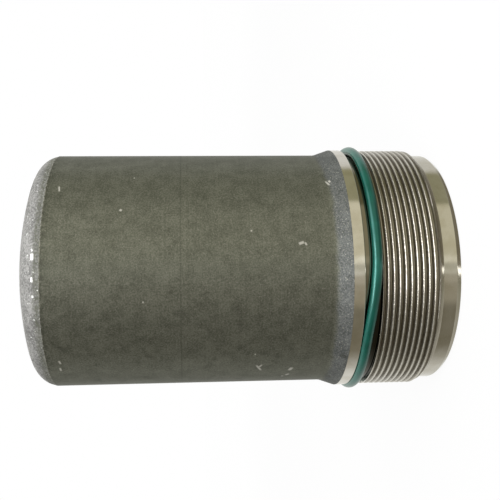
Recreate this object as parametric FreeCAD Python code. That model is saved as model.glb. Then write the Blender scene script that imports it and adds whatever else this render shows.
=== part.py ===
import FreeCAD, Part
import math
import os

from FreeCAD import Vector as V

# Piston accumulator of an automatic gearbox: a steel cup with a domed end, screwed by its mouth into
# the valve block. Inside, a sliding piston parts the gas charge under the dome from the oil at the mouth.
# Lengths are in millimetres. Z is the axis of the cup, z = 0 is the plain end face of the mouth, and the
# dome is up. Every piece is turned about Z and drawn where it lies with no oil pressure on the piston.

# Inside of the cup. Its walls and steps below give every other diameter of the cup.
bore_d = 58.4
register_step = 0.5
mouth_lead = 0.5
shoulder_lead_deg = 25.0
dome_wall = 3.4
inner_knuckle_radius = 3.5
pad_wall = 3.3
pad_len = 5.0
pad_bevel = 0.8

# Outside of the cup, from the end face up. The thread comes out at a standard major diameter of 68.
spigot_wall = 2.8
spigot_len = 4.9
end_chamfer_width = 1.0
end_chamfer_len = 1.3
thread_step = 1.5
thread_pitch = 1.5
thread_step_len = 0.8
thread_zone_len = 15.2
thread_end_land = 0.8
ring_groove_depth = 1.5
ring_groove_len = 4.5
collar_step = 0.2
collar_len = 2.9
edge_break = 0.2
flare_len = 4.3
body_wall = 3.5
body_len = 73.3
dome_edge_step = 0.1
dome_lean_deg = 8.75
knuckle_radius = 6.4
crown_radius = 88.0

# Rubber ring in the outer groove
outer_cord_d = 2.62

# Ring that holds the cover in the mouth
retaining_lip = 2.2
retaining_len = 1.6
retaining_width = 2.6
retaining_reach = 1.15
retaining_gap_deg = 26.0

# Cover and what seals it
cover_len = 10.0
cover_bevel = 0.4
cover_land_width = 6.5
cover_oil_recess = 1.0
hub_wall = 7.0
hub_recess = 2.0
rim_width = 6.0
oil_port_d = 10.0
oil_port_bevel = 0.8
cover_groove_lip = 2.4
cover_cord_d = 3.0
cover_cord_squeeze = 0.2
cover_backup_len = 1.4

# Piston and what it carries
piston_len = 32.0
piston_floor = 6.0
piston_wall = 3.4
piston_cup_fillet = 3.0
piston_bevel = 1.0
guide_lip = 2.5
guide_len = 4.0
guide_wall = 1.5
guide_cut_width = 1.5
guide_cut_deg = 35.0
seal_len = 4.7
seal_wall = 1.7
seal_cord_d = 3.53
seal_cord_squeeze = 0.15

# Plug of the gas filling hole, at the pole of the dome
plug_thread_d = 8.0
plug_shank_len = 5.5
plug_head_d = 13.6
plug_head_len = 3.0
plug_head_sink = 0.4
plug_bevel = 0.5
plug_socket_flats = 5.0
plug_socket_depth = 2.4
plug_cord_d = 1.6
plug_cord_squeeze = 0.18

# Clearances
seat_gap = 0.05
rubber_gap = 0.02
side_play = 0.1
running_gap = 0.05
piston_gap = 0.3
stop_gap = 0.05
head_gap = 0.4
ring_bevel = 0.25

# Heights along the axis
z_thread = spigot_len + thread_step_len
z_ring_groove = z_thread + thread_zone_len
z_collar = z_ring_groove + ring_groove_len
z_flare = z_collar + collar_len
z_body = z_flare + flare_len
z_dome = z_body + body_len
z_cover = retaining_lip + retaining_len
z_cover_top = z_cover + cover_len
z_shoulder = z_cover_top + seat_gap
z_piston = z_cover_top + stop_gap
z_piston_top = z_piston + piston_len


def pressed_width(cord_d, height):
    """Width of a round rubber cord once it is pressed flat to this height, with its area kept."""
    return height + math.pi * (cord_d ** 2 - height ** 2) / (4 * height)


# Radii of the cup
bore_r = bore_d / 2
body_r = bore_r + body_wall
register_r = bore_r + register_step
retaining_groove_r = register_r + retaining_reach
spigot_r = register_r + spigot_wall
thread_r = spigot_r + thread_step
thread_depth = 0.6134 * thread_pitch
thread_root_r = thread_r - thread_depth
ring_groove_r = thread_r - ring_groove_depth
collar_r = thread_r + collar_step

# The dome leaves the body at a slight lean: a knuckle arc, then a crown centred on the axis and tangent
# to it. The inner crown has the same centre, and the inner knuckle leads from it into the bore.
lean = math.radians(dome_lean_deg)
dome_edge_r = body_r - dome_edge_step
dome_edge_z = z_dome + dome_edge_step
knuckle_centre = (dome_edge_r - knuckle_radius * math.cos(lean), dome_edge_z - knuckle_radius * math.sin(lean))
crown_rise = math.sqrt((crown_radius - knuckle_radius) ** 2 - knuckle_centre[0] ** 2)
crown_centre = (0, knuckle_centre[1] - crown_rise)
z_apex = crown_centre[1] + crown_radius
inner_crown_radius = crown_radius - dome_wall
inner_knuckle_r = bore_r - inner_knuckle_radius
inner_rise = math.sqrt((inner_crown_radius - inner_knuckle_radius) ** 2 - inner_knuckle_r ** 2)
inner_knuckle_centre = (inner_knuckle_r, crown_centre[1] + inner_rise)
z_pad = z_apex - dome_wall - pad_len

# Groove of the cover: the rubber ring towards the piston, the backup ring towards the mouth
cover_r = register_r - seat_gap
cover_cord_h = cover_cord_d * (1 - cover_cord_squeeze)
cover_groove_r = register_r - cover_cord_h - 2 * rubber_gap
cover_groove_len = cover_backup_len + pressed_width(cover_cord_d, cover_cord_h) + 2 * side_play
z_cover_groove = z_cover + cover_groove_lip

# Grooves of the piston, from its oil face up: guide, seal, seal, guide, with equal lands between them
piston_r = bore_r - piston_gap
guide_r = bore_r - running_gap
guide_groove_r = guide_r - guide_wall - seat_gap
guide_groove_len = guide_len + side_play
seal_r = bore_r - running_gap
seal_cord_h = seal_cord_d * (1 - seal_cord_squeeze)
seal_groove_r = seal_r - seal_wall - seal_cord_h - 2 * rubber_gap
seal_groove_len = seal_len + side_play
seal_lip = (piston_len - 2 * (guide_lip + guide_groove_len + seal_groove_len)) / 3
z_oil_guide = z_piston + guide_lip
z_oil_seal = z_oil_guide + guide_groove_len + seal_lip
z_gas_seal = z_oil_seal + seal_groove_len + seal_lip
z_gas_guide = z_gas_seal + seal_groove_len + seal_lip

# Seat of the filling plug: a counterbore for its head and a chamber for its rubber ring
plug_r = plug_thread_d / 2
counterbore_r = plug_head_d / 2 + head_gap
pad_r = counterbore_r + pad_wall
z_plug_seat = z_apex - plug_head_sink - plug_head_len
plug_cord_h = plug_cord_d * (1 - plug_cord_squeeze)
plug_cord_w = pressed_width(plug_cord_d, plug_cord_h)
chamber_r = plug_r + plug_cord_w + side_play
chamber_len = plug_cord_h + 2 * rubber_gap


def turned(outline, sweep_deg=360):
    """Turns a closed outline about Z. An entry is the point (r, z) where a straight line ends, or two
    points for an arc: one that it passes through and the one where it ends."""
    edges = []
    start = here = outline[0]
    for entry in outline[1:] + [start]:
        if isinstance(entry[0], tuple):
            through, end = entry
            edges.append(Part.Arc(V(here[0], 0, here[1]), V(through[0], 0, through[1]), V(end[0], 0, end[1])).toShape())
        elif math.dist(here, entry) > 1e-6:
            end = entry
            edges.append(Part.makeLine(V(here[0], 0, here[1]), V(end[0], 0, end[1])))
        here = end
    return Part.Face(Part.Wire(edges)).revolve(V(0, 0, 0), V(0, 0, 1), sweep_deg)


def on_circle(centre, radius, angle):
    """Point of a circle beside the axis, the angle counted from the outward radius."""
    return (centre[0] + radius * math.cos(angle), centre[1] + radius * math.sin(angle))


def arc(centre, radius, start, end):
    """Arc entry of an outline that has reached the start angle."""
    return (on_circle(centre, radius, (start + end) / 2), on_circle(centre, radius, end))


def flat_ring(inner_r, outer_r, z_low, length):
    """Ring of rectangular section with bevelled edges."""
    z_high = z_low + length
    bevel = ring_bevel
    return turned([
        (inner_r, z_low + bevel), (inner_r + bevel, z_low), (outer_r - bevel, z_low), (outer_r, z_low + bevel),
        (outer_r, z_high - bevel), (outer_r - bevel, z_high), (inner_r + bevel, z_high), (inner_r, z_high - bevel),
    ])


def pressed_ring(mid_r, mid_z, cord_d, height, radial):
    """Rubber ring pressed flat along the radius or along the axis: two flats joined by round ends."""
    half = height / 2
    flat = (pressed_width(cord_d, height) - height) / 2

    def at(across, along):
        if radial:
            return (mid_r + across, mid_z + along)
        return (mid_r + along, mid_z + across)

    return turned([
        at(half, -flat), at(half, flat), (at(0, flat + half), at(-half, flat)),
        at(-half, -flat), (at(0, -flat - half), at(half, -flat)),
    ])


def thread_outline():
    """Outline of the thread from its lead-in to the narrow land beside the ring groove, as sixty degree
    grooves with flat roots. The rise of the helix is less than a hair and is left out."""
    half_root = (thread_pitch * 7 / 8 - 2 * thread_depth * math.tan(math.radians(30))) / 2
    half_top = thread_pitch * 7 / 16
    z_low = z_thread + thread_depth
    z_high = z_ring_groove - thread_end_land
    turns = int((z_high - z_low) / thread_pitch)
    points = [(thread_r, z_low)]
    for turn in range(turns):
        mid = z_high - half_top - (turns - 1 - turn) * thread_pitch
        points += [
            (thread_r, mid - half_top), (thread_root_r, mid - half_root),
            (thread_root_r, mid + half_root), (thread_r, mid + half_top),
        ]
    return points


def shell():
    """Steel cup, cold drawn in one piece and then turned at its mouth."""
    shoulder_r = (register_r + bore_r) / 2
    shoulder_lead = (shoulder_r - bore_r) / math.tan(math.radians(shoulder_lead_deg))
    outer_turn = math.atan2(crown_rise, knuckle_centre[0])
    inner_turn = math.atan2(inner_rise, inner_knuckle_r)
    rim_turn = math.acos(counterbore_r / crown_radius)
    pad_turn = math.acos(pad_r / inner_crown_radius)
    return turned([
        (register_r + mouth_lead, 0),
        (spigot_r - end_chamfer_width, 0),
        (spigot_r, end_chamfer_len),
        (spigot_r, spigot_len),
        (thread_root_r, z_thread),
        *thread_outline(),
        (thread_r, z_ring_groove - edge_break),
        (thread_r - edge_break, z_ring_groove),
        (ring_groove_r, z_ring_groove),
        (ring_groove_r, z_collar),
        (collar_r - edge_break, z_collar),
        (collar_r, z_collar + edge_break),
        (collar_r, z_flare),
        (body_r, z_body),
        (body_r, z_dome),
        (dome_edge_r, dome_edge_z),
        arc(knuckle_centre, knuckle_radius, lean, outer_turn),
        arc(crown_centre, crown_radius, outer_turn, rim_turn),
        (counterbore_r, z_plug_seat),
        (chamber_r, z_plug_seat),
        (chamber_r, z_plug_seat - chamber_len),
        (plug_r, z_plug_seat - chamber_len),
        (plug_r, z_pad),
        (pad_r - pad_bevel, z_pad),
        (pad_r, z_pad + pad_bevel),
        on_circle(crown_centre, inner_crown_radius, pad_turn),
        arc(crown_centre, inner_crown_radius, pad_turn, inner_turn),
        arc(inner_knuckle_centre, inner_knuckle_radius, inner_turn, 0),
        (bore_r, z_shoulder + shoulder_lead),
        (shoulder_r, z_shoulder),
        (register_r, z_shoulder),
        (register_r, z_cover + side_play),
        (retaining_groove_r, z_cover + side_play),
        (retaining_groove_r, retaining_lip),
        (register_r, retaining_lip),
        (register_r, mouth_lead),
    ])


def external_o_ring():
    """Round rubber ring in the outer groove, which seals the cup in its housing."""
    ring_r = ring_groove_r + rubber_gap + outer_cord_d / 2
    return Part.makeTorus(ring_r, outer_cord_d / 2, V(0, 0, z_ring_groove + ring_groove_len / 2))


def retaining_ring():
    """Open ring of flat wire, sprung into its groove in the mouth."""
    outer_r = retaining_groove_r - seat_gap
    inner_r = outer_r - retaining_width
    ring = turned([
        (inner_r, retaining_lip), (outer_r, retaining_lip), (outer_r, z_cover), (inner_r, z_cover),
    ], 360 - retaining_gap_deg)
    ring.rotate(V(0, 0, 0), V(0, 0, 1), 90 + retaining_gap_deg / 2)
    return ring


def end_cover():
    """Turned cover with the oil port in its hub. The piston rests on the land round its oil recess."""
    port_r = oil_port_d / 2
    hub_r = port_r + hub_wall
    rim_r = cover_r - rim_width
    land_r = cover_r - cover_land_width
    z_recess = z_cover_top - cover_oil_recess
    return turned([
        (port_r + oil_port_bevel, z_cover),
        (hub_r, z_cover),
        (hub_r + hub_recess / 2, z_cover + hub_recess),
        (rim_r - hub_recess / 2, z_cover + hub_recess),
        (rim_r, z_cover),
        (cover_r - cover_bevel, z_cover),
        (cover_r, z_cover + cover_bevel),
        (cover_r, z_cover_groove),
        (cover_groove_r, z_cover_groove),
        (cover_groove_r, z_cover_groove + cover_groove_len),
        (cover_r, z_cover_groove + cover_groove_len),
        (cover_r, z_cover_top - cover_bevel),
        (cover_r - cover_bevel, z_cover_top),
        (land_r, z_cover_top),
        (land_r, z_recess),
        (port_r, z_recess),
        (port_r, z_cover + oil_port_bevel),
    ])


def end_cover_o_ring():
    """Rubber ring of the cover, pressed between its groove and the mouth."""
    mid_r = (cover_groove_r + register_r) / 2
    half_width = pressed_width(cover_cord_d, cover_cord_h) / 2
    mid_z = z_cover_groove + cover_groove_len - side_play - half_width
    return pressed_ring(mid_r, mid_z, cover_cord_d, cover_cord_h, True)


def end_cover_backup_ring():
    """Stiff ring that keeps the cover's rubber ring out of the gap round the cover."""
    return flat_ring(cover_groove_r + seat_gap, cover_r, z_cover_groove, cover_backup_len)


def piston():
    """Turned cup, open to the gas, with grooves for its guides and seals."""
    cup_r = seal_groove_r - piston_wall
    z_floor = z_piston + piston_floor
    fillet_centre = (cup_r - piston_cup_fillet, z_floor + piston_cup_fillet)
    outline = [(0, z_piston), (piston_r - piston_bevel, z_piston), (piston_r, z_piston + piston_bevel)]
    for z_low, length, floor_r in (
        (z_oil_guide, guide_groove_len, guide_groove_r),
        (z_oil_seal, seal_groove_len, seal_groove_r),
        (z_gas_seal, seal_groove_len, seal_groove_r),
        (z_gas_guide, guide_groove_len, guide_groove_r),
    ):
        z_high = z_low + length
        outline += [(piston_r, z_low), (floor_r, z_low), (floor_r, z_high), (piston_r, z_high)]
    outline += [
        (piston_r, z_piston_top - piston_bevel),
        (piston_r - piston_bevel, z_piston_top),
        (cup_r + piston_bevel, z_piston_top),
        (cup_r, z_piston_top - piston_bevel),
        (cup_r, fillet_centre[1]),
        arc(fillet_centre, piston_cup_fillet, 0, -math.pi / 2),
        (0, z_floor),
    ]
    return turned(outline)


def guide_ring(z_groove, turn_deg):
    """Guide band, with the slanted cut that lets it snap into its groove."""
    z_low = z_groove + side_play / 2
    band = flat_ring(guide_r - guide_wall, guide_r, z_low, guide_len)
    cut_len = 4 * guide_len
    cut = Part.makeBox(bore_r, guide_cut_width, cut_len, V(bore_r / 2, -guide_cut_width / 2, -cut_len / 2))
    cut.rotate(V(0, 0, 0), V(1, 0, 0), guide_cut_deg)
    cut.translate(V(0, 0, z_low + guide_len / 2))
    cut.rotate(V(0, 0, 0), V(0, 0, 1), turn_deg)
    return band.cut(cut)


def seal_ring(z_groove):
    """Slippery ring that slides on the bore."""
    return flat_ring(seal_r - seal_wall, seal_r, z_groove + side_play / 2, seal_len)


def seal_energizer(z_groove):
    """Rubber ring under a sliding ring, which presses it against the bore."""
    mid_r = seal_groove_r + rubber_gap + seal_cord_h / 2
    return pressed_ring(mid_r, z_groove + seal_groove_len / 2, seal_cord_d, seal_cord_h, True)


def charge_plug():
    """Socket-head plug that closes the gas filling hole."""
    head_r = plug_head_d / 2
    shank_r = plug_r - seat_gap
    z_head = z_plug_seat + plug_head_len
    z_tip = z_plug_seat - plug_shank_len
    plug = turned([
        (0, z_tip), (shank_r - plug_bevel, z_tip), (shank_r, z_tip + plug_bevel), (shank_r, z_plug_seat),
        (head_r, z_plug_seat), (head_r, z_head - plug_bevel), (head_r - plug_bevel, z_head), (0, z_head),
    ])
    corner_r = plug_socket_flats / 2 / math.cos(math.radians(30))
    corners = []
    for side in range(7):
        angle = math.radians(60 * side)
        corners.append(V(corner_r * math.cos(angle), corner_r * math.sin(angle), z_head - plug_socket_depth))
    socket = Part.Face(Part.makePolygon(corners)).extrude(V(0, 0, plug_socket_depth + plug_head_len))
    return plug.cut(socket)


def charge_plug_seal():
    """Rubber ring pressed into its chamber by the head of the plug."""
    mid_r = plug_r + rubber_gap + plug_cord_w / 2
    return pressed_ring(mid_r, z_plug_seat - chamber_len / 2, plug_cord_d, plug_cord_h, False)


pieces = {
    "shell": shell(),
    "external_o_ring": external_o_ring(),
    "retaining_ring": retaining_ring(),
    "end_cover": end_cover(),
    "end_cover_o_ring": end_cover_o_ring(),
    "end_cover_backup_ring": end_cover_backup_ring(),
    "piston": piston(),
    "oil_side_guide_ring": guide_ring(z_oil_guide, 60),
    "oil_side_seal_ring": seal_ring(z_oil_seal),
    "oil_side_seal_energizer": seal_energizer(z_oil_seal),
    "gas_side_seal_ring": seal_ring(z_gas_seal),
    "gas_side_seal_energizer": seal_energizer(z_gas_seal),
    "gas_side_guide_ring": guide_ring(z_gas_guide, 240),
    "charge_plug": charge_plug(),
    "charge_plug_seal": charge_plug_seal(),
}

os.makedirs("parts", exist_ok=True)
for name, shape in pieces.items():
    shape.exportStep(f"parts/{name}.step")
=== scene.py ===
import bmesh
import bpy
import math
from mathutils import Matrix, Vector


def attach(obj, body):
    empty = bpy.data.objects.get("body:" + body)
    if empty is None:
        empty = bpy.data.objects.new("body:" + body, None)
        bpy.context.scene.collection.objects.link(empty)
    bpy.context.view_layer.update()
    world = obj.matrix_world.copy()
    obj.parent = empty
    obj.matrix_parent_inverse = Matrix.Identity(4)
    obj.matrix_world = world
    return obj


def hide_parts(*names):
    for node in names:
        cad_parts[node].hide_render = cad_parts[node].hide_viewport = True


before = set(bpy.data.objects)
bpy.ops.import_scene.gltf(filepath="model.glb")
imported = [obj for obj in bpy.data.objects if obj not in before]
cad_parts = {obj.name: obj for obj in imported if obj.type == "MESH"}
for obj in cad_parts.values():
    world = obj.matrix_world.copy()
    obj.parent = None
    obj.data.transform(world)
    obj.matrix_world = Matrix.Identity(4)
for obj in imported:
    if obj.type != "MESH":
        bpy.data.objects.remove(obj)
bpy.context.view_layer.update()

# The cup is one piece of cold drawn steel, turned at its mouth. Sizes here are in millimetres, with heights
# above the plain end face. Its outline runs from the mouth up the outside, over the dome and back inside.
MM = 0.001
bore_r = 29.2
register_r = 29.7
clip_groove_r = 30.85
mid_wall_r = bore_r + 1.7
skin_r = bore_r + 2.4
spigot_r = 32.5
thread_root_r = 33.08
thread_r = 34.0
seal_groove_r = 32.5
collar_r = 34.2
body_r = 32.7
mouth_break = 0.5
end_chamfer_r = 1.0
end_chamfer_z = 1.3
clip_low = 2.2
cover_low = 3.8
clip_play = 0.1
spigot_top = 4.9
thread_low = 5.7
shoulder_z = 13.85
shoulder_lead = 0.6
seal_groove_low = 20.9
collar_low = 25.4
flare_low = 28.3
flare_high = 32.6
flare_top_ease = 1.0
flare_foot_ease = 3.5
dome_low = 105.9
dome_step = 0.1
dome_lean = math.radians(8.75)
dome_wall = 3.4
rim_band = 0.3
rim_hold = 2.0
knuckle_radius = 6.4
crown_radius = 88.0
inner_knuckle_radius = 3.5
pad_low = 107.37
pad_ease = 0.6
plug_hole_r = 4.0
plug_head_hole_r = 7.2
plug_pad_r = 10.5
plug_seat_z = 112.37
plug_chamber_r = 6.0
plug_chamber_len = 1.35
COLUMNS = 192
KNUCKLE_STEPS = 18
CROWN_STEPS = 14
INNER_STEPS = 8
EASE_STEPS = 4
EASE_HOLD = 1.5
SAME_POINT = 0.0001
WELD = 0.001


def eased(corners):
    """Outline points from corners (r, z), (r, z, easing radius) or (r, z, easing radius, flats). An eased
    corner is held by one more point on each side, so that the flats beside it stay flat in the light."""
    points = []
    for place, corner in enumerate(corners):
        here = Vector(corner[:2])
        radius = corner[2] if len(corner) > 2 else 0
        flats = corner[3] if len(corner) > 3 else 0
        if radius == 0:
            points.append((here.x, here.y, flats))
            continue
        before = (Vector(corners[place - 1][:2]) - here).normalized()
        after = (Vector(corners[(place + 1) % len(corners)][:2]) - here).normalized()
        half_turn = before.angle(after) / 2
        setback = radius / math.tan(half_turn)
        centre = here + (before + after).normalized() * radius / math.sin(half_turn)
        first_arm = before * setback + here - centre
        last_arm = after * setback + here - centre
        curve = [here + before * setback * EASE_HOLD]
        for step in range(EASE_STEPS + 1):
            arm = first_arm.slerp(last_arm, step / EASE_STEPS)
            curve.append(centre + arm.normalized() * radius)
        curve.append(here + after * setback * EASE_HOLD)
        points += [(point.x, point.y, flats) for point in curve]
    return points


def arc(centre, radius, start, end, steps):
    """Corners along an arc of an outline, with both its ends."""
    corners = []
    for step in range(steps + 1):
        angle = start + (end - start) * step / steps
        corners.append((centre[0] + radius * math.cos(angle), centre[1] + radius * math.sin(angle)))
    return corners


def turned(name, corners, materials, finish_at=None, skip=None):
    """Piece turned about Z from a closed outline. finish_at gives the place in materials for a radius and a
    height, and skip is the point after which the outline stays open as far as the next one."""
    points = eased(corners)
    vertices, faces, finish_of_face = [], [], []
    for column in range(COLUMNS):
        angle = math.tau * column / COLUMNS
        for r, z, flats in points:
            if flats:
                share = math.tau / flats
                r = r / math.cos(angle % share - share / 2)
            vertices.append((r * MM * math.cos(angle), r * MM * math.sin(angle), z * MM))
    for column in range(COLUMNS):
        here = column * len(points)
        ahead = (column + 1) % COLUMNS * len(points)
        for place, point in enumerate(points):
            after = (place + 1) % len(points)
            on_axis = point[0] == 0 and points[after][0] == 0
            if on_axis or skip and math.dist(point[:2], skip) < SAME_POINT:
                continue
            faces.append((here + place, ahead + place, ahead + after, here + after))
            middle = Vector(point[:2]).lerp(Vector(points[after][:2]), 0.5)
            finish_of_face.append(finish_at(middle.x, middle.y) if finish_at else 0)
    mesh = bpy.data.meshes.new(name)
    mesh.from_pydata(vertices, [], faces)
    for material in materials:
        mesh.materials.append(material)
    mesh.polygons.foreach_set("material_index", finish_of_face)
    poles = bmesh.new()
    poles.from_mesh(mesh)
    bmesh.ops.remove_doubles(poles, verts=poles.verts, dist=WELD * MM)
    poles.to_mesh(mesh)
    poles.free()
    piece = bpy.data.objects.new(name, mesh)
    bpy.context.scene.collection.objects.link(piece)
    return piece


class Wire:
    """An output of a node. Arithmetic on it adds Math nodes to its tree."""

    def __init__(self, net, socket):
        self.net = net
        self.socket = socket

    def also(self, output):
        """Another output of the same node."""
        return Wire(self.net, self.socket.node.outputs[output])

    def __add__(self, other):
        return self.net.maths("ADD", self, other)

    def __sub__(self, other):
        return self.net.maths("SUBTRACT", self, other)

    def __rsub__(self, other):
        return self.net.maths("SUBTRACT", other, self)

    def __mul__(self, other):
        return self.net.maths("MULTIPLY", self, other)

    def __truediv__(self, other):
        return self.net.maths("DIVIDE", self, other)

    def __lt__(self, other):
        return self.net.maths("LESS_THAN", self, other)

    def __gt__(self, other):
        return self.net.maths("GREATER_THAN", self, other)

    __radd__ = __add__
    __rmul__ = __mul__


class Net:
    """A node tree that is being written."""

    def __init__(self, tree):
        self.tree = tree

    def node(self, kind, settings=(), inputs=(), output=0):
        """Adds a node with its settings, fills its sockets with values or links, and gives one output."""
        made = self.tree.nodes.new(kind)
        for name, value in dict(settings).items():
            setattr(made, name, value)
        self.fill(made, inputs)
        return Wire(self, made.outputs[output])

    def fill(self, made, inputs):
        """Gives a node's sockets their values or links."""
        for name, value in dict(inputs).items():
            if isinstance(value, Wire):
                self.tree.links.new(value.socket, made.inputs[name])
            else:
                made.inputs[name].default_value = value

    def end(self, shape):
        """Gives a shape as the result of a Geometry Nodes tree."""
        self.tree.links.new(shape.socket, self.tree.nodes.new("NodeGroupOutput").inputs[0])

    def maths(self, operation, *values):
        return self.node("ShaderNodeMath", {"operation": operation}, dict(enumerate(values)))

    def rise(self, value, low, high):
        """Smooth step from 0 to 1 as the value goes from low to high."""
        ends = {"Value": value, "From Min": low, "From Max": high}
        return self.node("ShaderNodeMapRange", {"interpolation_type": "SMOOTHSTEP"}, ends)

    def mix(self, share, colour, other):
        """Mix of two colours, which are inputs 6 and 7 of the Mix node, with output 2 as the result."""
        return self.node("ShaderNodeMix", {"data_type": "RGBA"}, {0: share, 6: colour, 7: other}, 2)

    def ramp(self, value, stops):
        """Colour along a value from 0 to 1, from stops (value, colour)."""
        made = self.node("ShaderNodeValToRGB", {}, {0: value})
        elements = made.socket.node.color_ramp.elements
        while len(elements) < len(stops):
            elements.new(1)
        for element, (position, colour) in zip(elements, stops):
            element.position = position
            element.color = (*colour, 1)
        return made

    def noise(self, place, scale, detail):
        return self.node("ShaderNodeTexNoise", {}, {"Vector": place, "Scale": scale, "Detail": detail})

    def rings(self, distance, scale, detail):
        """Noise that changes only along one number, as a lathe tool leaves it."""
        inputs = {"W": distance, "Scale": scale, "Detail": detail}
        return self.node("ShaderNodeTexNoise", {"noise_dimensions": "1D"}, inputs)

    def bump(self, height, depth):
        return self.node("ShaderNodeBump", {}, {"Height": height, "Distance": depth})

    def split(self, place):
        """X of a place. Its also() gives Y and Z."""
        return self.node("ShaderNodeSeparateXYZ", {}, {0: place}, "X")

    def turn_of(self, x):
        """Angle about Z of a split place, from the front line towards +X."""
        return self.maths("ARCTAN2", x, x.also("Y") * -1)


class Place:
    """Where a shaded point lies on the part. Its radius and height are in millimetres."""

    def __init__(self, net):
        self.net = net
        self.position = net.node("ShaderNodeTexCoord", output="Object")
        self.x = net.split(self.position)

    def turn(self):
        return self.net.turn_of(self.x)

    def radius(self):
        y = self.x.also("Y")
        return self.net.maths("SQRT", self.x * self.x + y * y) / MM

    def height(self):
        return self.x.also("Z") / MM


def finish(name, surface):
    """Material from a function that takes the net and returns its sockets' values."""
    material = bpy.data.materials.new(name)
    material.use_nodes = True
    net = Net(material.node_tree)
    net.fill(material.node_tree.nodes["Principled BSDF"], surface(net))
    return material


def nick(net, turn, height, degrees, z, length, lean, width):
    """Mask of one short scratch on the cup, at a turn and a height, leaning from the axis. It is full in its
    middle and fades towards its sides and ends."""
    across = (turn - math.radians(degrees)) * body_r
    along = height - z
    lean = math.radians(lean)
    side = net.maths("ABSOLUTE", across * math.cos(lean) - along * math.sin(lean))
    reach = net.maths("ABSOLUTE", across * math.sin(lean) + along * math.cos(lean))
    return net.rise(side, width, width / 3) * net.rise(reach, length / 2, length / 5)


# Scratches on the body, and dents in the dome that are painted white as glints, as turn in degrees, height,
# length, lean in degrees, width.
NICKS = (
    (-54.7, 51.1, 4.2, 64, 0.42), (-52.9, 50.7, 1.8, -61, 0.4), (-56.6, 42.5, 2.4, -68, 0.65),
    (-63.3, 43.0, 1.8, -52, 0.5), (-65.5, 44.2, 0.9, 5, 0.4), (-43.6, 52.4, 0.5, 0, 0.35),
    (10.2, 41.1, 1.9, -19, 0.5), (9.8, 40.0, 1.1, 62, 0.35), (16.0, 53.6, 0.6, 0, 0.3),
    (41.6, 32.6, 2.4, 62, 0.35), (42.6, 32.0, 1.2, 70, 0.35), (39.0, 102.4, 2.6, 82, 0.3),
    (26.6, 86.4, 0.9, 30, 0.45), (46.3, 83.5, 0.5, 0, 0.3), (-46.4, 102.4, 1.8, 76, 0.35),
    (-52.0, 102.6, 2.0, 87, 0.35), (-14.8, 80.7, 0.5, 0, 0.3),
)
DENT_GLINTS = (
    (5.6, 107.7, 2.2, 90, 0.55), (-4.4, 107.7, 1.7, 86, 0.35), (-11.8, 107.5, 0.8, 90, 0.35),
    (8.6, 107.8, 0.9, 70, 0.25),
)
die_mark_z = 71.4
die_mark_width = 0.35


def phosphated_steel(net):
    """The body's dark skin, paler and rougher on the flare, with a die mark, bare scratches, and stains that
    are kept to the -X side, where they also paint shade.
    """
    wall_dark = (0.098, 0.102, 0.080, 1)
    wall_pale = (0.214, 0.218, 0.180, 1)
    flare_dark = (0.082, 0.089, 0.087, 1)
    flare_pale = (0.228, 0.238, 0.236, 1)
    stain_and_shade_colour = (0.055, 0.057, 0.045, 1)
    bare_colour = (0.62, 0.60, 0.53, 1)
    at = Place(net)
    turn = at.turn()
    height = at.height()
    grain = net.noise(at.position, scale=2600, detail=3)
    patches = net.noise(at.position, scale=300, detail=4)
    drawn = net.rings(height, scale=1.3, detail=4)
    shade = 0.60 * grain + 0.32 * patches + 0.08 * drawn
    wall = net.mix(net.rise(shade, 0.3, 0.72), wall_dark, wall_pale)
    rough = net.mix(net.rise(shade, 0.3, 0.7), flare_dark, flare_pale)
    reach = 1.3 * net.rise(turn, math.radians(25), math.radians(65))
    flare = net.rise(height + 2 * patches - reach, flare_high + 1.2, flare_high - 0.4)
    colour = net.mix(flare, wall, rough)
    # Stain noise, kept by turn to the side towards -X: partly stains, partly painted shade on that side.
    stain = net.rise(net.noise(at.position, scale=240, detail=5), 0.56, 0.72)
    stain = stain * net.rise(turn, math.radians(10), math.radians(-35))
    die_mark = net.rise(net.maths("ABSOLUTE", height - die_mark_z), die_mark_width, 0.1)
    ragged = height + 5 * net.noise(at.position, scale=900, detail=3)
    ragged = net.rise(ragged, dome_low + 1.2, dome_low + 2.6)
    dark = net.maths("MAXIMUM", 0.42 * stain, net.maths("MAXIMUM", 0.30 * die_mark, 0.48 * ragged))
    colour = net.mix(dark, colour, stain_and_shade_colour)
    sparkle = net.rise(net.noise(at.position, scale=3400, detail=1), 0.64, 0.72) * (0.25 + 0.75 * flare)
    # Pale bare specks along the body's edge under the dome: partly wear, partly a painted highlight on that
    # edge.
    rim_wear_and_highlight = net.rise(height, dome_low - rim_band, dome_low - rim_band / 3)
    rim_wear_and_highlight = rim_wear_and_highlight * net.rise(net.noise(at.position, scale=2000, detail=2), 0.40, 0.60)
    bare = net.maths("MAXIMUM", sparkle * 0.6, rim_wear_and_highlight * 0.40)
    for scratch in NICKS:
        bare = net.maths("MAXIMUM", bare, 0.8 * nick(net, turn, height, *scratch))
    return {
        "Base Color": net.mix(bare, colour, bare_colour),
        "Metallic": 0.6 - 0.55 * bare,
        "Specular Tint": (0.3, 0.3, 0.28, 1),
        "Roughness": 0.30 + 0.14 * grain + 0.16 * flare,
        "Normal": net.bump(grain + patches, depth=0.04 * MM),
    }


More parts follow.
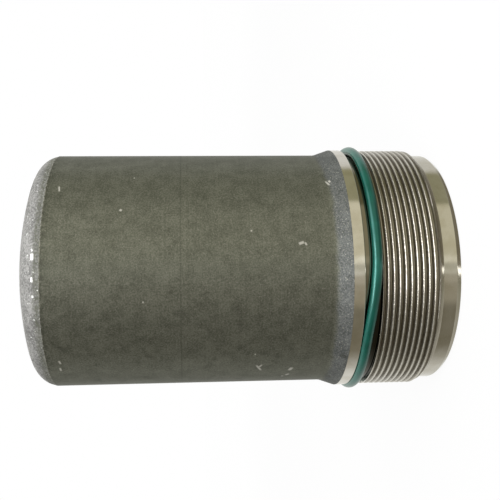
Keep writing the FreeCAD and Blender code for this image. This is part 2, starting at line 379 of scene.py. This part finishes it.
def rough_dome(net):
    """The dome's coarse grey skin, darker and specked along its lower edge as painted shade, with sparkles
    and dents painted white as glints.
    """
    dark_grey = (0.150, 0.149, 0.144, 1)
    pale_grey = (0.362, 0.358, 0.346, 1)
    edge_shade_colour = (0.115, 0.12, 0.085, 1)
    glint_white = (0.95, 0.95, 0.93, 1)
    at = Place(net)
    turn = at.turn()
    height = at.height()
    grain = net.noise(at.position, scale=1900, detail=3)
    patches = net.noise(at.position, scale=210, detail=3)
    shade = 0.65 * grain + 0.35 * patches
    colour = net.mix(net.rise(shade, 0.36, 0.64), dark_grey, pale_grey)
    # A band along the dome's lower edge is painted darker, with specks in it: painted shade.
    specks = net.rise(net.noise(at.position, scale=1300, detail=2), 0.40, 0.60)
    edge = net.rise(height, dome_low + 2.3, dome_low + 0.9)
    colour = net.mix(edge * (0.30 + 0.45 * specks), colour, edge_shade_colour)
    # Sparkles and dents are painted near white: painted glints.
    sparkle = net.rise(net.noise(at.position, scale=1300, detail=1), 0.68, 0.74) * 0.5
    for glint in DENT_GLINTS:
        sparkle = net.maths("MAXIMUM", sparkle, nick(net, turn, height, *glint))
    return {
        "Base Color": net.mix(sparkle, colour, glint_white),
        "Metallic": 0.3,
        "Specular IOR Level": 0.3,
        "Roughness": 0.6 + 0.15 * grain - 0.25 * sparkle,
        "Normal": net.bump(grain + patches, depth=0.18 * MM),
    }


def turned_steel(net):
    """Bright lathe work. The thread's flanks are gritty and painted dark as shade, its roots a paler painted
    reflection, and the ring groove painted dark as shade, near black low down as a painted shadow.
    """
    clean = (0.60, 0.575, 0.53, 1)
    stained = (0.53, 0.50, 0.44, 1)
    spigot_tint = (0.19, 0.16, 0.04, 1)
    flank_shade_colour = (0.13, 0.115, 0.085, 1)
    root_reflection_colour = (0.46, 0.43, 0.35, 1)
    groove_shade_colour = (0.12, 0.105, 0.065, 1)
    groove_shadow_colour = (0.012, 0.012, 0.010, 1)
    groove_shadow_z = 22.6
    at = Place(net)
    turn = at.turn()
    radius = at.radius()
    height = at.height()
    lines = net.rings(height + radius, scale=5.5, detail=3)
    wide = net.rings(height - radius, scale=0.9, detail=2)
    stain = net.noise(at.position, scale=240, detail=3)
    grit = net.rise(net.noise(at.position, scale=2400, detail=3), 0.38, 0.62)
    outside = radius > skin_r
    spigot = height < thread_low
    threaded = outside * (height > thread_low) * (height < seal_groove_low)
    # The thread's flanks get painted shade, less of it near the run-out. Its roots get a paler painted
    # reflection, held dark as painted shade in a band of turns towards -X.
    flank = net.rise(radius, thread_r - 0.05, thread_r - 0.35) * threaded
    root = flank * net.rise(radius, thread_root_r + 0.12, thread_root_r + 0.03)
    runout = net.rise(height, thread_low + 1.5, thread_low + 0.7)
    root_shade_band = net.rise(turn, math.radians(-5), math.radians(-20))
    root_shade_band = root_shade_band * net.rise(turn, math.radians(-60), math.radians(-42))
    # The ring groove's floor is painted dark: painted shade.
    groove_shade = net.rise(radius, seal_groove_r + 0.5, seal_groove_r + 0.2)
    groove_shade = groove_shade * (height > seal_groove_low - 0.01) * outside
    # Near black low in the ring groove, between the ring and the thread, all the way round: a painted shadow.
    groove_shadow = groove_shade * net.rise(height, groove_shadow_z + 0.5, groove_shadow_z)
    colour = net.mix(net.rise(stain, 0.35, 0.7), clean, stained)
    colour = net.mix(0.20 * spigot, colour, spigot_tint)
    colour = net.mix(flank * (0.57 + 0.26 * grit - 0.3 * runout), colour, flank_shade_colour)
    colour = net.mix(root * (0.66 - 0.42 * root_shade_band), colour, root_reflection_colour)
    colour = net.mix(groove_shade * 0.85, colour, groove_shade_colour)
    colour = net.mix(groove_shadow * 0.85, colour, groove_shadow_colour)
    return {
        "Base Color": colour,
        "Metallic": 1.0 - 0.12 * spigot,
        "Roughness": 0.05 + 0.06 * lines + 0.04 * wide + 0.19 * flank,
        "Normal": net.bump(lines + 5.0 * grit * threaded, depth=0.004 * MM),
    }


body_finish = finish("phosphated_steel", phosphated_steel)
dome_finish = finish("rough_dome_steel", rough_dome)
mouth_finish = finish("turned_steel", turned_steel)

knuckle_centre = (
    body_r - dome_step - knuckle_radius * math.cos(dome_lean),
    dome_low + dome_step - knuckle_radius * math.sin(dome_lean),
)
crown_rise = math.sqrt((crown_radius - knuckle_radius) ** 2 - knuckle_centre[0] ** 2)
crown_centre = (0, knuckle_centre[1] - crown_rise)
inner_crown = crown_radius - dome_wall
inner_knuckle_x = bore_r - inner_knuckle_radius
inner_rise = math.sqrt((inner_crown - inner_knuckle_radius) ** 2 - inner_knuckle_x ** 2)
inner_knuckle_centre = (inner_knuckle_x, crown_centre[1] + inner_rise)
outer_turn = math.atan2(crown_rise, knuckle_centre[0])
inner_turn = math.atan2(inner_rise, inner_knuckle_x)
hole_turn = math.acos(plug_head_hole_r / crown_radius)
hole_edge_z = crown_centre[1] + math.sqrt(crown_radius ** 2 - plug_head_hole_r ** 2)
pad_turn = math.acos(plug_pad_r / inner_crown)
clip_high = cover_low + clip_play
chamber_low = plug_seat_z - plug_chamber_len
cup_outline = [
    (register_r + mouth_break, 0, 0.1), (spigot_r - end_chamfer_r, 0, 0.25), (spigot_r, end_chamfer_z, 0.35),
    (spigot_r, spigot_top, 0.25), (thread_root_r, thread_low), (thread_root_r, seal_groove_low),
    (seal_groove_r, seal_groove_low, 0.3), (seal_groove_r, collar_low, 0.3), (collar_r, collar_low, 0.2),
    (collar_r, flare_low, flare_top_ease), (body_r, flare_high, flare_foot_ease),
    (body_r, dome_low - rim_hold), (body_r, dome_low - rim_band), (body_r, dome_low),
    *arc(knuckle_centre, knuckle_radius, dome_lean, outer_turn, KNUCKLE_STEPS),
    *arc(crown_centre, crown_radius, outer_turn, hole_turn, CROWN_STEPS)[1:-1],
    (plug_head_hole_r, hole_edge_z, 0.2), (plug_head_hole_r, plug_seat_z), (plug_chamber_r, plug_seat_z),
    (plug_chamber_r, chamber_low), (plug_hole_r, chamber_low), (plug_hole_r, pad_low),
    (plug_pad_r, pad_low, pad_ease), *arc(crown_centre, inner_crown, pad_turn, inner_turn, INNER_STEPS),
    *arc(inner_knuckle_centre, inner_knuckle_radius, inner_turn, 0, INNER_STEPS)[1:],
    (bore_r, shoulder_z + shoulder_lead), (register_r, shoulder_z), (register_r, clip_high),
    (clip_groove_r, clip_high), (clip_groove_r, clip_low), (register_r, clip_low),
    (register_r, mouth_break, 0.1),
]


def cup_finish(radius, height):
    """Place in the cup's materials: 0 for the body, 1 for the dome, 2 for all that is turned."""
    on_crown = math.dist((radius, height), crown_centre) > crown_radius - dome_wall / 2
    outside = radius > mid_wall_r or on_crown and radius > plug_head_hole_r - 0.1
    if height < flare_low or not outside:
        return 2
    return 1 if height > dome_low else 0


cup = turned(
    "cup", cup_outline, [body_finish, dome_finish, mouth_finish], cup_finish,
    skip=(thread_root_r, thread_low),
)

# The thread is cut on the cup itself, right hand, with a pitch of 1.5 and sixty degree flanks. A grid is
# wound round the cup: one row of it follows the helix at one place of the profile, and its ends close on it.
thread_pitch = 1.5
crest_radius = 0.2
crest_front_z = 7.5
flank_slope = math.radians(60)
FRONT_LAP = 0.75
SPARE_TURN = 0.1
POINTS_PER_TURN = 20
THREAD_WELD = 0.003


def shape_net(name, sizes, counts):
    """Geometry Nodes tree that takes a Shape, a Finish and these sizes and counts, and gives a Shape."""
    tree = bpy.data.node_groups.new(name, "GeometryNodeTree")
    tree.interface.new_socket("Shape", in_out="INPUT", socket_type="NodeSocketGeometry")
    for size in sizes:
        tree.interface.new_socket(size, in_out="INPUT", socket_type="NodeSocketFloat")
    for count in counts:
        tree.interface.new_socket(count, in_out="INPUT", socket_type="NodeSocketInt")
    tree.interface.new_socket("Finish", in_out="INPUT", socket_type="NodeSocketMaterial")
    tree.interface.new_socket("Shape", in_out="OUTPUT", socket_type="NodeSocketGeometry")
    net = Net(tree)
    return net, net.node("NodeGroupInput")


net, given = shape_net(
    "wind_thread",
    ("Major radius", "Root radius", "Pitch", "Crest radius", "Low end", "High end", "Start", "Turned below"),
    ("Turns", "Points per turn", "Columns"),
)
pitch, low, high = given.also("Pitch"), given.also("Low end"), given.also("High end")
major, root = given.also("Major radius"), given.also("Root radius")
turns = given.also("Turns")
grid = net.node("GeometryNodeMeshGrid", {}, {
    "Size X": 1.0, "Size Y": 1.0,
    "Vertices X": given.also("Columns") + 1, "Vertices Y": turns * given.also("Points per turn") + 1,
})
across = net.split(net.node("GeometryNodeInputPosition"))
lap = across + 0.5
wind = (across.also("Y") + 0.5) * turns
height = given.also("Start") + pitch * (wind + lap)
from_crest = net.maths("ABSOLUTE", net.maths("FRACT", wind + 0.5) - 0.5) * pitch
crest_r = given.also("Crest radius")
on_crest = net.maths("MINIMUM", from_crest, crest_r * math.sin(flank_slope))
sunk = crest_r - net.maths("SQRT", crest_r * crest_r - on_crest * on_crest)
sunk = sunk + (from_crest - on_crest) * math.tan(flank_slope)
profile = net.maths("MAXIMUM", major - sunk, root)
lead = net.maths("MAXIMUM", root + (height - low), root)
wall_r = net.maths("MINIMUM", profile, lead)
past = height > high + pitch / given.also("Points per turn")
wall_r = wall_r + (root - wall_r) * past
wall_z = net.maths("MINIMUM", net.maths("MAXIMUM", height, low), high)
angle = lap * math.tau
wound = net.node("ShaderNodeCombineXYZ", {}, {
    "X": wall_r * net.maths("COSINE", angle), "Y": wall_r * net.maths("SINE", angle), "Z": wall_z,
})
band = net.node("GeometryNodeSetPosition", {}, {"Geometry": grid, "Position": wound})
whole = net.node("GeometryNodeJoinGeometry", {}, {0: given.also("Shape")})
net.fill(whole.socket.node, {0: band})
whole = net.node("GeometryNodeMergeByDistance", {}, {"Geometry": whole, "Distance": THREAD_WELD * MM})
whole = net.node("GeometryNodeRealizeInstances", {}, {0: whole})
face_z = net.split(net.node("GeometryNodeInputPosition")).also("Z")
whole = net.node("GeometryNodeSetMaterial", {}, {
    "Geometry": whole, "Selection": face_z < given.also("Turned below"), "Material": given.also("Finish"),
})
net.end(whole)


def grown(piece, tree, values, name):
    """Runs a piece through a Geometry Nodes tree with these input values, and makes it a plain mesh."""
    modifier = piece.modifiers.new(name, "NODES")
    modifier.node_group = tree
    for socket in tree.interface.items_tree:
        if socket.in_out == "INPUT" and socket.name in values:
            modifier[socket.identifier] = values[socket.name]
    evaluated = piece.evaluated_get(bpy.context.evaluated_depsgraph_get())
    mesh = bpy.data.meshes.new_from_object(evaluated)
    piece.modifiers.remove(modifier)
    piece.data = mesh
    piece.name = name
    mesh.name = name
    return piece


SHARP_FROM = math.radians(38)


def smooth(piece):
    """Smooth shading, with an edge where two faces meet at more than the sharp angle."""
    mesh = piece.data
    mesh.polygons.foreach_set("use_smooth", [True] * len(mesh.polygons))
    mesh.set_sharp_from_angle(angle=SHARP_FROM)


lowest_start = crest_front_z - FRONT_LAP * thread_pitch
while lowest_start + thread_pitch > thread_low:
    lowest_start -= thread_pitch
thread_turns = math.ceil((seal_groove_low - lowest_start) / thread_pitch + SPARE_TURN)
grown(cup, net.tree, {
    "Major radius": thread_r * MM, "Root radius": thread_root_r * MM, "Pitch": thread_pitch * MM,
    "Crest radius": crest_radius * MM, "Low end": thread_low * MM, "High end": seal_groove_low * MM,
    "Start": lowest_start * MM, "Turns": thread_turns, "Points per turn": POINTS_PER_TURN,
    "Columns": COLUMNS, "Turned below": flare_low * MM, "Finish": mouth_finish,
}, "cup")
smooth(cup)
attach(cup, "housing")
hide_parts("shell")

# The outer ring seals the cup in its housing: a teal moulded ring of round section, in the groove beside the
# thread. It lies loose, so in its lower half it has crept against the collar and left the groove open.
cord_d = 2.62
ring_play = 0.02
ring_r = seal_groove_r + ring_play + cord_d / 2
ring_z = 22.24
ring_creep = 1.8
CREEP_STARTS = (math.radians(6), math.radians(-38))
CREEP_ENDS = (math.radians(-180), math.radians(-135))
CORD_SIDES = 40


def teal_rubber(net):
    """Glossy moulded rubber with a fine flash line where the mould's halves met."""
    deep = (0.002, 0.060, 0.043, 1)
    pale = (0.004, 0.090, 0.066, 1)
    at = Place(net)
    bloom = net.noise(at.position, scale=180, detail=3)
    grain = net.noise(at.position, scale=2200, detail=2)
    flash = net.rise(net.maths("ABSOLUTE", at.radius() - ring_r), 0.10, 0.04)
    return {
        "Base Color": net.mix(net.rise(bloom, 0.35, 0.7), deep, pale),
        "Specular IOR Level": 0.9,
        "Specular Tint": (0.45, 1.0, 0.92, 1),
        "Roughness": 0.16 + 0.08 * grain + 0.05 * bloom,
        "Normal": net.bump(grain * 0.5 + flash, depth=0.02 * MM),
    }


net, given = shape_net("lay_ring", ("Ring radius", "Cord radius", "Height", "Creep"), ("Columns", "Sides"))
circle = net.node("GeometryNodeCurvePrimitiveCircle", {}, {
    "Resolution": given.also("Columns"), "Radius": given.also("Ring radius"),
}, "Curve")
turn = net.turn_of(net.split(net.node("GeometryNodeInputPosition")))
crept = net.rise(turn, *CREEP_STARTS) * net.rise(turn, *CREEP_ENDS)
lift = net.node("ShaderNodeCombineXYZ", {}, {"Z": given.also("Height") + given.also("Creep") * crept})
path = net.node("GeometryNodeSetPosition", {}, {"Geometry": circle, "Offset": lift})
section = net.node("GeometryNodeCurvePrimitiveCircle", {}, {
    "Resolution": given.also("Sides"), "Radius": given.also("Cord radius"),
}, "Curve")
cord = net.node("GeometryNodeCurveToMesh", {}, {"Curve": path, "Profile Curve": section})
cord = net.node("GeometryNodeRealizeInstances", {}, {0: cord})
net.end(net.node("GeometryNodeSetMaterial", {}, {"Geometry": cord, "Material": given.also("Finish")}))


def grown_alone(name, tree, values):
    """Piece that a Geometry Nodes tree makes from nothing but its input values."""
    piece = bpy.data.objects.new(name, bpy.data.meshes.new(name))
    bpy.context.scene.collection.objects.link(piece)
    return grown(piece, tree, values, name)


outer_ring = grown_alone("outer_ring", net.tree, {
    "Ring radius": ring_r * MM, "Cord radius": cord_d / 2 * MM, "Height": ring_z * MM,
    "Creep": ring_creep * MM, "Columns": COLUMNS, "Sides": CORD_SIDES,
    "Finish": finish("teal_rubber", teal_rubber),
})
smooth(outer_ring)
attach(outer_ring, "housing")
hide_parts("external_o_ring")

# The end cover closes the mouth: a turned steel disc with a raised rim and hub, and the oil port through its
# hub. It has a groove for its own seal, and a recess on the piston's side.
cover_r = 29.65
cover_top = 13.8
cover_break = 0.4
rim_r = 23.65
hub_r = 12.0
port_r = 5.0
port_break = 0.8
cover_recess = 2.0
recess_slope = 1.0
recess_z = cover_low + cover_recess
cover_groove_low = 6.2
cover_groove_high = 11.26
cover_groove_r = 27.26
oil_recess_r = 23.15
oil_recess_z = 12.8
cover_outline = [
    (port_r + port_break, cover_low, 0.15), (hub_r, cover_low, 0.3), (hub_r + recess_slope, recess_z, 0.4),
    (rim_r - recess_slope, recess_z, 0.4), (rim_r, cover_low, 0.3), (cover_r - cover_break, cover_low, 0.1),
    (cover_r, cover_low + cover_break, 0.1), (cover_r, cover_groove_low, 0.1),
    (cover_groove_r, cover_groove_low), (cover_groove_r, cover_groove_high),
    (cover_r, cover_groove_high, 0.1), (cover_r, cover_top - cover_break, 0.1),
    (cover_r - cover_break, cover_top, 0.1), (oil_recess_r, cover_top, 0.2),
    (oil_recess_r, oil_recess_z, 0.2), (port_r, oil_recess_z, 0.2), (port_r, cover_low + port_break, 0.15),
]


def cover_steel(net):
    """Faced steel with fine rings and a faint stain."""
    clean = (0.58, 0.565, 0.53, 1)
    stained = (0.50, 0.48, 0.43, 1)
    at = Place(net)
    lines = net.rings(at.radius() + at.height(), scale=4.2, detail=3)
    stain = net.noise(at.position, scale=160, detail=3)
    return {
        "Base Color": net.mix(net.rise(stain, 0.35, 0.7), clean, stained),
        "Metallic": 1.0,
        "Roughness": 0.16 + 0.12 * lines,
        "Normal": net.bump(lines, depth=0.01 * MM),
    }


cover = turned("mouth_cover", cover_outline, [finish("cover_steel", cover_steel)])
smooth(cover)
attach(cover, "housing")
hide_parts("end_cover")

# The retaining ring is a strip of dark spring wire, bent to an open ring and sprung into the mouth's groove,
# where the cover presses against it.
clip_outer_r = 30.80
clip_width = 2.6
clip_edge = 0.25
clip_gap = math.radians(26)
CLIP_EDGE_STEPS = 4


def spring_steel(net):
    """Blued spring wire with a film of oil."""
    blued = (0.045, 0.045, 0.052, 1)
    oiled = (0.095, 0.090, 0.085, 1)
    at = Place(net)
    grain = net.noise(at.position, scale=1500, detail=3)
    oil = net.noise(at.position, scale=220, detail=2)
    return {
        "Base Color": net.mix(net.rise(oil, 0.35, 0.7), blued, oiled),
        "Metallic": 0.9,
        "Roughness": 0.28 + 0.2 * grain,
        "Normal": net.bump(grain, depth=0.01 * MM),
    }


net, given = shape_net(
    "bend_wire", ("Middle radius", "Width", "Thickness", "Height", "Edge", "Gap"), ("Columns",),
)
bent = net.node("GeometryNodeCurveArc", {"mode": "RADIUS"}, {
    "Resolution": given.also("Columns"), "Radius": given.also("Middle radius"),
    "Start Angle": math.pi / 2 + given.also("Gap") / 2, "Sweep Angle": math.tau - given.also("Gap"),
}, "Curve")
lift = net.node("ShaderNodeCombineXYZ", {}, {"Z": given.also("Height")})
bent = net.node("GeometryNodeSetPosition", {}, {"Geometry": bent, "Offset": lift})
flat = net.node("GeometryNodeCurvePrimitiveQuadrilateral", {}, {
    "Width": given.also("Width"), "Height": given.also("Thickness"),
})
flat = net.node("GeometryNodeFilletCurve", {"mode": "POLY"}, {
    "Curve": flat, "Count": CLIP_EDGE_STEPS, "Radius": given.also("Edge"),
})
wire = net.node("GeometryNodeCurveToMesh", {}, {"Curve": bent, "Profile Curve": flat, "Fill Caps": True})
wire = net.node("GeometryNodeRealizeInstances", {}, {0: wire})
net.end(net.node("GeometryNodeSetMaterial", {}, {"Geometry": wire, "Material": given.also("Finish")}))
clip = grown_alone("mouth_clip", net.tree, {
    "Middle radius": (clip_outer_r - clip_width / 2) * MM, "Width": clip_width * MM,
    "Thickness": (cover_low - clip_low) * MM, "Height": (clip_low + cover_low) / 2 * MM,
    "Edge": clip_edge * MM, "Gap": clip_gap, "Columns": COLUMNS,
    "Finish": finish("spring_steel", spring_steel),
})
smooth(clip)
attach(clip, "housing")
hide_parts("retaining_ring")

# The filling plug closes the gas hole at the pole of the dome: a plated steel plug with a hexagon socket in
# its round head, which presses a small rubber ring into the seat below it.
shank_r = 3.95
head_r = 6.8
head_top = 115.37
plug_tip = 106.87
plug_break = 0.5
SOCKET_SIDES = 6
socket_mouth_r = 3.3
socket_lead = 0.4
socket_flat = 2.5
socket_floor = head_top - 2.4
drill_r = socket_flat - 0.2
drill_z = socket_floor - 0.02
drill_tip_z = socket_floor - 0.6
plug_outline = [
    (0, plug_tip), (shank_r - plug_break, plug_tip, 0.1), (shank_r, plug_tip + plug_break, 0.1),
    (shank_r, plug_seat_z), (head_r, plug_seat_z, 0.1), (head_r, head_top - plug_break, 0.15),
    (head_r - plug_break, head_top, 0.15), (socket_mouth_r, head_top, 0.1),
    (socket_flat, head_top - socket_lead, 0, SOCKET_SIDES), (socket_flat, socket_floor, 0, SOCKET_SIDES),
    (drill_r, drill_z, 0, SOCKET_SIDES), (0, drill_tip_z),
]


def plated_steel(net):
    """Plated steel, turned and a little dull."""
    clean = (0.46, 0.45, 0.42, 1)
    dull = (0.34, 0.325, 0.28, 1)
    at = Place(net)
    lines = net.rings(at.radius(), scale=3.6, detail=2)
    stain = net.noise(at.position, scale=420, detail=3)
    return {
        "Base Color": net.mix(net.rise(stain, 0.35, 0.7), clean, dull),
        "Metallic": 1.0,
        "Roughness": 0.22 + 0.1 * lines + 0.1 * stain,
        "Normal": net.bump(lines, depth=0.008 * MM),
    }


plug = turned("filling_plug", plug_outline, [finish("plug_steel", plated_steel)])
smooth(plug)
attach(plug, "housing")
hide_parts("charge_plug")


# The seals inside are moulded black rubber: the cover's ring, the plug's ring and the rings that press the
# piston's slippery rings outwards. They keep the shape that they have when pressed in their grooves.
def black_rubber(net):
    """Dull black rubber."""
    deep = (0.014, 0.014, 0.015, 1)
    pale = (0.030, 0.030, 0.031, 1)
    grain = net.noise(Place(net).position, scale=1800, detail=3)
    return {
        "Base Color": net.mix(net.rise(grain, 0.3, 0.7), deep, pale),
        "Roughness": 0.42 + 0.2 * grain,
        "Normal": net.bump(grain, depth=0.01 * MM),
    }


def dress(nodes, material):
    """Gives CAD pieces one material in place of what they came with."""
    for name in nodes:
        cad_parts[name].data.materials.clear()
        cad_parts[name].data.materials.append(material)


dress(
    ("end_cover_o_ring", "charge_plug_seal", "oil_side_seal_energizer", "gas_side_seal_energizer"),
    finish("black_rubber", black_rubber),
)


# The stiff rings inside are turned plastics: white for the cover's backup ring, bronze filled for the rings
# that seal the piston, and brown fabric filled for the bands that guide it.
def turned_plastic(pale, deep, roughness):
    """Surface of a turned plastic ring between two colours."""

    def surface(net):
        at = Place(net)
        lines = net.rings(at.radius() + at.height(), scale=2.6, detail=2)
        flecks = net.noise(at.position, scale=1500, detail=3)
        return {
            "Base Color": net.mix(net.rise(flecks, 0.35, 0.65), pale, deep),
            "Roughness": roughness + 0.12 * lines,
            "Normal": net.bump(lines, depth=0.01 * MM),
        }

    return surface


white_plastic = turned_plastic((0.80, 0.79, 0.75, 1), (0.70, 0.69, 0.64, 1), 0.35)
bronze_plastic = turned_plastic((0.20, 0.125, 0.060, 1), (0.11, 0.066, 0.030, 1), 0.40)
brown_plastic = turned_plastic((0.16, 0.085, 0.040, 1), (0.085, 0.045, 0.022, 1), 0.50)
dress(("end_cover_backup_ring",), finish("white_sliding_plastic", white_plastic))
dress(("oil_side_seal_ring", "gas_side_seal_ring"), finish("bronze_sliding_plastic", bronze_plastic))
dress(("oil_side_guide_ring", "gas_side_guide_ring"), finish("guide_plastic", brown_plastic))


# The piston parts the gas from the oil: a cup turned from aluminium bar and hard anodised to a dull grey.
def anodised_aluminium(net):
    """Dull grey anodised aluminium with fine turning lines."""
    pale = (0.40, 0.40, 0.385, 1)
    deep = (0.32, 0.32, 0.30, 1)
    at = Place(net)
    lines = net.rings(at.radius() + at.height(), scale=3.2, detail=3)
    cloud = net.noise(at.position, scale=120, detail=2)
    return {
        "Base Color": net.mix(net.rise(cloud, 0.35, 0.65), pale, deep),
        "Metallic": 0.9,
        "Roughness": 0.36 + 0.12 * lines,
        "Normal": net.bump(lines, depth=0.01 * MM),
    }


dress(("piston",), finish("piston_aluminium", anodised_aluminium))

# The floor is pale and plain. To the camera it is nearly white, more so far from the part, and it keeps the
# part's shadow. From below it is clear, so that the mouth can be seen.
FLOOR = 3.0
FLOOR_COLOUR = (0.85, 0.85, 0.85, 1)
GLOW_NEAR = 0.94
GLOW_GAIN = 0.055
GLOW_REACH = (0.2, 0.8)
floor_mesh = bpy.data.meshes.new("floor")
floor_corners = [(-FLOOR, -FLOOR, 0), (FLOOR, -FLOOR, 0), (FLOOR, FLOOR, 0), (-FLOOR, FLOOR, 0)]
floor_mesh.from_pydata(floor_corners, [], [(0, 1, 2, 3)])
floor = bpy.data.objects.new("floor", floor_mesh)
bpy.context.scene.collection.objects.link(floor)
floor.visible_glossy = False
floor.visible_diffuse = False
pale = bpy.data.materials.new("pale_floor")
pale.use_nodes = True
net = Net(pale.node_tree)
shader = pale.node_tree.nodes["Principled BSDF"]
net.fill(shader, {"Base Color": FLOOR_COLOUR, "Roughness": 0.9})
lit = Wire(net, shader.outputs[0])
glow = net.node("ShaderNodeEmission", {}, {"Color": (1, 1, 1, 1), "Strength": 1.0})
clear = net.node("ShaderNodeBsdfTransparent")
seen = net.node("ShaderNodeLightPath", output="Is Camera Ray")
below = net.node("ShaderNodeNewGeometry", output="Backfacing")
place = net.node("ShaderNodeTexCoord", output="Object")
away = net.node("ShaderNodeVectorMath", {"operation": "LENGTH"}, {0: place}, "Value")
white = GLOW_NEAR + GLOW_GAIN * net.rise(away, *GLOW_REACH)
shown = net.node("ShaderNodeMixShader", {}, {0: seen * white, 1: lit, 2: glow})
shown = net.node("ShaderNodeMixShader", {}, {0: below, 1: shown, 2: clear})
net.fill(pale.node_tree.nodes["Material Output"], {0: shown})
floor.data.materials.append(pale)

# The studio round it, which metal and gloss mirror: walls as two turns from the front towards +X in degrees
# and a colour, and a table as a place from -X to +X and a colour. The ceiling is pale, with a thin bright gap
# that runs on in the table. Dull surfaces are lit by a fill, paler towards +X, and the camera sees white.
WALLS = (
    (-180, -122, (0.90, 0.90, 0.86)), (-86, -42, (0.25, 0.23, 0.17)), (-34, -18.5, (0.44, 0.405, 0.31)),
    (-16.5, -10, (0.55, 0.515, 0.415)), (-8.5, -5, (0.81, 0.80, 0.70)), (-4, 1, (0.68, 0.67, 0.565)),
    (2, 7, (1.12, 1.10, 0.94)), (9, 61, (0.86, 0.825, 0.64)), (64, 104, (0.40, 0.39, 0.25)),
    (112, 180, (0.90, 0.90, 0.86)),
)
TABLE = (
    (-1, (0.85, 0.85, 0.82)), (-0.5, (0.62, 0.60, 0.54)), (-0.2, (0.44, 0.43, 0.34)),
    (-0.06, (0.29, 0.26, 0.19)), (0.55, (0.26, 0.235, 0.17)), (0.75, (0.55, 0.54, 0.50)),
    (1, (0.85, 0.85, 0.82)),
)
CEILING = (0.80, 0.80, 0.78, 1)
CEILING_FROM = (0.45, 0.75)
TABLE_FROM = (-0.45, -0.60)
GAP = (3.0, 3.0, 2.9, 1)
GAP_SIDES = ((-0.09, -0.07), (-0.02, -0.04))
GAP_FROM = (0.5, 0.65)
FILL_DARK = (0.08, 0.08, 0.08, 1)
FILL_PALE = (0.78, 0.78, 0.77, 1)
WHITE = (1, 1, 1, 1)
world = bpy.data.worlds.new("studio")
world.use_nodes = True
bpy.context.scene.world = world
net = Net(world.node_tree)
x = net.split(net.node("ShaderNodeTexCoord", output="Generated"))
up = x.also("Z")
walls = net.ramp(net.turn_of(x) / math.tau + 0.5, [
    (side / 360 + 0.5, colour) for *sides, colour in WALLS for side in sides
])
table = net.ramp(x / 2 + 0.5, [(side / 2 + 0.5, colour) for side, colour in TABLE])
room = net.mix(net.rise(up, *CEILING_FROM), walls, CEILING)
room = net.mix(net.rise(up, *TABLE_FROM), room, table)
gap = net.rise(net.maths("ABSOLUTE", up), *GAP_FROM)
for edge in GAP_SIDES:
    gap = gap * net.rise(x, *edge)
room = net.mix(gap, room, GAP)
fill = net.mix(net.rise(x, -1.0, 1.0), FILL_DARK, FILL_PALE)
seen = net.node("ShaderNodeLightPath", output="Is Camera Ray")
room = net.mix(seen.also("Is Glossy Ray"), fill, room)
room = net.mix(seen, room, WHITE)
net.fill(world.node_tree.nodes["Background"], {"Color": room})


# Three soft lamps: a strip over the camera, a wide one behind it, and a square one overhead.
def soft_lamp(name, place, aim, size, watts):
    """Rectangular lamp that faces a point, in metres."""
    lamp = bpy.data.objects.new(name, bpy.data.lights.new(name, "AREA"))
    bpy.context.scene.collection.objects.link(lamp)
    lamp.data.shape = "RECTANGLE"
    lamp.data.size, lamp.data.size_y = size
    lamp.data.energy = watts
    lamp.location = place
    lamp.rotation_euler = (Vector(aim) - Vector(place)).to_track_quat("-Z", "Y").to_euler()


soft_lamp("front_lamp", place=(-0.015, -0.42, 0.66), aim=(0, 0, 0.02), size=(0.50, 0.28), watts=3.1)
soft_lamp("wide_lamp", place=(0.03, -0.46, 0.72), aim=(0, 0, 0.02), size=(1.10, 0.80), watts=2.8)
soft_lamp("overhead_lamp", place=(0.40, -0.15, 0.70), aim=(0, 0, 0.05), size=(0.50, 0.50), watts=1.2)

# The camera stands where the photograph was taken, turned on its side, because the part stands on its mouth
# here and lies down in the photograph.
camera_distance = 205.74
camera_height = 69.448
camera_degrees = (-6.3675, 86.1506, -101.5187)
SENSOR = 36
LENS = 50.168
SHIFT = (0.030736, -0.091051)
CLIP_START = 0.01
camera = bpy.data.objects.new("camera", bpy.data.cameras.new("camera"))
bpy.context.scene.collection.objects.link(camera)
camera.location = (0, -camera_distance * MM, camera_height * MM)
camera.rotation_euler = [math.radians(angle) for angle in camera_degrees]
camera.data.sensor_width = SENSOR
camera.data.lens = LENS
camera.data.shift_x, camera.data.shift_y = SHIFT
camera.data.clip_start = CLIP_START
bpy.context.scene.camera = camera
bpy.context.scene.view_settings.view_transform = "Standard"
